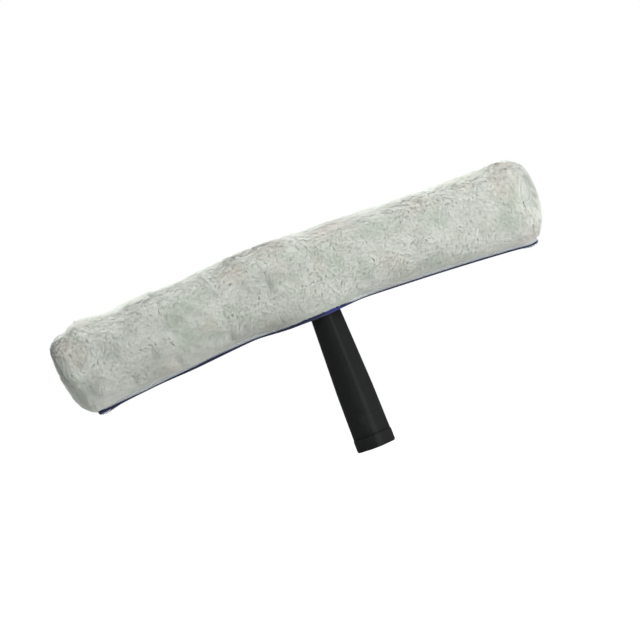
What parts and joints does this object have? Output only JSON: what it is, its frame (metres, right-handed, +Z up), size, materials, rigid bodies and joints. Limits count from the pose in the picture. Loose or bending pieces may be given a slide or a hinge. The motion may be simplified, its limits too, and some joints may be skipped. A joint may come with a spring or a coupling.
{
  "type": "window scrubber",
  "caption": "Fixed T-bar window scrubber with a high-pile washing sleeve that closes under the bar with two hemmed flaps, and a round pole socket in its handle.",
  "frame": {"origin": "centre of the pole socket's mouth, at the free end of the handle", "axes": "+X along the cross bar, to the right in the picture; +Z up the handle's axis from the socket to the bar; the front, which the picture shows, faces -Y"},
  "size_m": [0.3527, 0.0524, 0.1597],
  "materials": {
    "handle_plastic": "black moulded, fine satin texture",
    "bar_plastic": "black moulded",
    "core_plastic": "dark grey moulded",
    "screw_steel": "zinc plated",
    "pile": "off-white high pile",
    "hem_thread": "blue overlocked thread",
    "hook_tape": "hook tape",
    "loop_tape": "loop tape"
  },
  "bodies": {
    "t_bar": {"handle": "handle_plastic", "end_collar": "handle_plastic", "cross_bar": "bar_plastic", "core_block": "core_plastic", "left_end_plug": "bar_plastic", "right_end_plug": "bar_plastic", "fixing_screws": "screw_steel"},
    "sleeve": {"sleeve_body": "pile", "left_end_seam": "hem_thread", "right_end_seam": "hem_thread"},
    "front_flap": {"front_flap": "pile", "front_hem": "hem_thread", "left_hook_tape": "hook_tape", "right_hook_tape": "hook_tape"},
    "rear_flap": {"rear_flap": "pile", "rear_hem": "hem_thread", "left_loop_tape": "loop_tape", "right_loop_tape": "loop_tape"}
  },
  "joints": [
    {"name": "sleeve_lift", "type": "slide", "parent": "t_bar", "child": "sleeve", "axis": [0, 0, 1], "range_m": [0, 0.06], "deforming": ["front_flap", "rear_flap", "front_hem", "rear_hem", "left_hook_tape", "right_hook_tape", "left_loop_tape", "right_loop_tape"]},
    {"name": "front_flap_open", "type": "hinge", "parent": "sleeve", "child": "front_flap", "pos_m": [0, -0.013, 0.12], "axis": [-1, 0, 0], "range_deg": [0, 90]},
    {"name": "rear_flap_open", "type": "hinge", "parent": "sleeve", "child": "rear_flap", "pos_m": [0, 0.013, 0.12], "axis": [1, 0, 0], "range_deg": [0, 90]}
  ]
}
